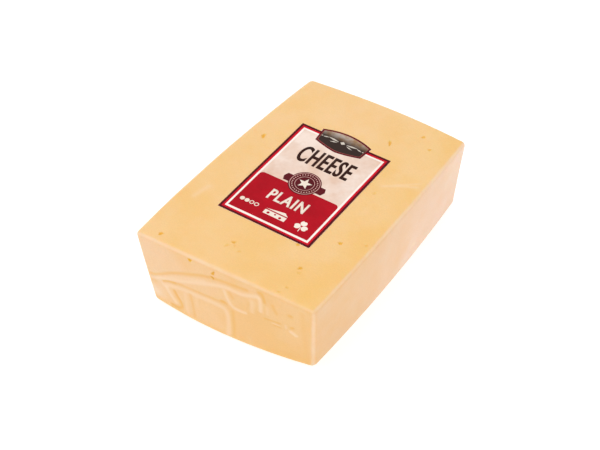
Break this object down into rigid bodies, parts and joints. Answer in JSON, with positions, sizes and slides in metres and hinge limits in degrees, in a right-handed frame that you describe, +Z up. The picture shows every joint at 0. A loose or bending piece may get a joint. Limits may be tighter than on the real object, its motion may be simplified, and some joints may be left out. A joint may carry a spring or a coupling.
{
  "type": "block of cheese",
  "caption": "Wire-cut rectangular block of semi-hard cheese with soft edges, lying flat, with a die-cut paper label stuck on its top face.",
  "frame": {"origin": "under the middle of the block, on the plane of the flat face that it rests on", "axes": "+X across the block, from its left side to its right; +Y along the block, from the end with the wrapping folds to the far end, and up the label; +Z up, out of the face that carries the label"},
  "size_m": [0.1048, 0.1532, 0.0466],
  "materials": {
    "cheese": "satin",
    "label": "satin"
  },
  "bodies": {
    "root": {"cheese_block": "cheese", "label": "label"}
  },
  "joints": []
}
